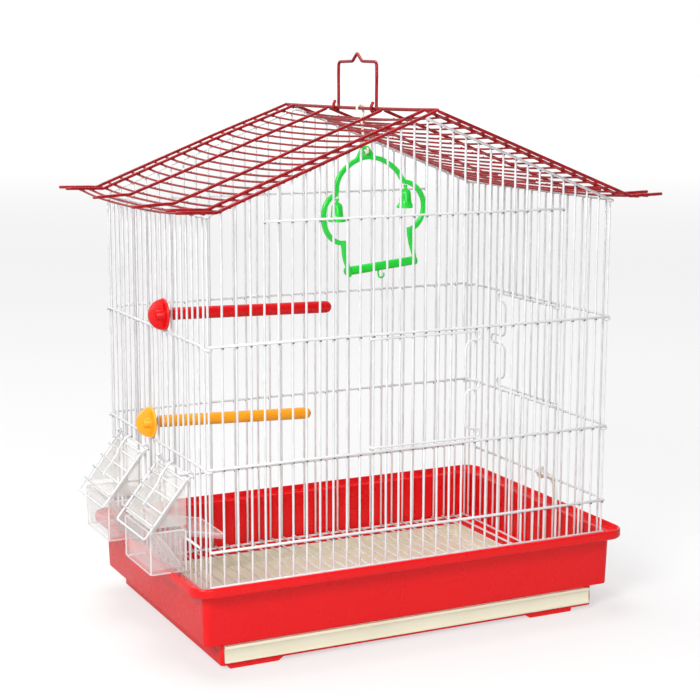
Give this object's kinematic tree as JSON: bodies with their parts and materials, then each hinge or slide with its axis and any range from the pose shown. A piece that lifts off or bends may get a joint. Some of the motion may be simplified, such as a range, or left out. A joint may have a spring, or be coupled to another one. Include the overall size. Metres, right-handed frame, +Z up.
{
  "type": "hanging bird cage",
  "caption": "Gabled wire bird cage on a moulded base with pull-out tray, hinged doors, outside seed cups under hinged flaps, perches, swing and carrying bail.",
  "frame": {"origin": "on the standing surface under the middle of the cage, halfway along its width and depth", "axes": "+Z up, the height and longest extent; -Y is the gabled front with the door and the tray's face; -X is the side with the seed cups; +X is the side with the second door"},
  "size_m": [0.4868, 0.3192, 0.527],
  "materials": {
    "white_wire": "smooth white coating on steel wire, slight gloss",
    "roof_wire": "dark red coating on steel wire, slight gloss",
    "base_red": "bright red moulded plastic, satin gloss",
    "tray_cream": "cream moulded plastic, satin",
    "ivory": "ivory moulded plastic, satin",
    "clear_plastic": "clear moulded plastic, glossy",
    "perch_red": "red moulded plastic",
    "perch_yellow": "orange-yellow moulded plastic",
    "swing_green": "bright green moulded plastic"
  },
  "bodies": {
    "cage": {"base_tub": "base_red", "base_frame": "base_red", "floor_grate": "white_wire", "front_panel": "white_wire", "back_panel": "white_wire", "left_panel": "white_wire", "right_panel": "white_wire", "roof_left": "roof_wire", "roof_right": "roof_wire", "roof_ridge": "roof_wire", "perch_red": "perch_red", "perch_red_plug": "perch_red", "perch_yellow": "perch_yellow", "perch_yellow_plug": "perch_yellow"},
    "tray": {"drawer_tray": "tray_cream"},
    "bail": {"bail_handle": "roof_wire"},
    "front_door": {"front_door": "white_wire"},
    "side_door": {"side_door": "white_wire"},
    "flap_front": {"feeder_flap_front": "white_wire", "feeder_hood_front": "clear_plastic"},
    "flap_rear": {"feeder_flap_rear": "white_wire", "feeder_hood_rear": "clear_plastic"},
    "cup_front": {"feeder_cup_front": "clear_plastic"},
    "cup_rear": {"feeder_cup_rear": "clear_plastic"},
    "hanger": {"swing_hanger": "ivory"},
    "swing": {"swing_frame": "swing_green", "swing_perch": "swing_green"},
    "bell_left": {"swing_bell_left": "swing_green"},
    "bell_right": {"swing_bell_right": "swing_green"},
    "clip": {"base_clip": "ivory"}
  },
  "joints": [
    {"name": "tray_slide", "type": "slide", "parent": "cage", "child": "tray", "axis": [0, -1, 0], "range_m": [0, 0.24]},
    {"name": "bail_hinge", "type": "hinge", "parent": "cage", "child": "bail", "pos_m": [0, 0, 0.4781], "axis": [0, 1, 0], "range_deg": [-90, 90]},
    {"name": "front_door_hinge", "type": "hinge", "parent": "cage", "child": "front_door", "pos_m": [-0.04516, -0.1297, 0.2319], "axis": [0, 0, -1], "range_deg": [0, 120]},
    {"name": "side_door_hinge", "type": "hinge", "parent": "cage", "child": "side_door", "pos_m": [0.2009, -0.04515, 0.2319], "axis": [0, 0, -1], "range_deg": [0, 120]},
    {"name": "flap_front_hinge", "type": "hinge", "parent": "cage", "child": "flap_front", "pos_m": [-0.2029, -0.0516, 0.1661], "axis": [0, 1, 0], "range_deg": [0, 110]},
    {"name": "flap_rear_hinge", "type": "hinge", "parent": "cage", "child": "flap_rear", "pos_m": [-0.2029, 0.0645, 0.1661], "axis": [0, 1, 0], "range_deg": [0, 110]},
    {"name": "cup_front_slide", "type": "slide", "parent": "cage", "child": "cup_front", "axis": [-1, 0, 0], "range_m": [0, 0.071]},
    {"name": "cup_rear_slide", "type": "slide", "parent": "cage", "child": "cup_rear", "axis": [-1, 0, 0], "range_m": [0, 0.071]},
    {"name": "hanger_pivot", "type": "hinge", "parent": "cage", "child": "hanger", "pos_m": [0, -0.0105, 0.4781], "axis": [0, 1, 0], "range_deg": [-25, 25]},
    {"name": "swing_pivot", "type": "hinge", "parent": "hanger", "child": "swing", "pos_m": [0.00593, -0.0105, 0.43591], "axis": [0.9903, 0, 0.1392], "range_deg": [-20, 20]},
    {"name": "bell_left_pivot", "type": "hinge", "parent": "swing", "child": "bell_left", "pos_m": [-0.0237, -0.0105, 0.3934], "axis": [0, 1, 0], "range_deg": [-4.5, 4.5]},
    {"name": "bell_right_pivot", "type": "hinge", "parent": "swing", "child": "bell_right", "pos_m": [0.0486, -0.0105, 0.4039], "axis": [0, 1, 0], "range_deg": [-4.5, 4.5]},
    {"name": "clip_pivot", "type": "hinge", "parent": "cage", "child": "clip", "pos_m": [0.207, -0.0126, 0.1063], "axis": [-1, 0, 0], "range_deg": [0, 60]}
  ],
  "couplings": [
    {"joint": "cup_front_slide", "follows": "flap_front_hinge", "m_per_rad": 0.0368},
    {"joint": "cup_rear_slide", "follows": "flap_rear_hinge", "m_per_rad": 0.0368}
  ]
}
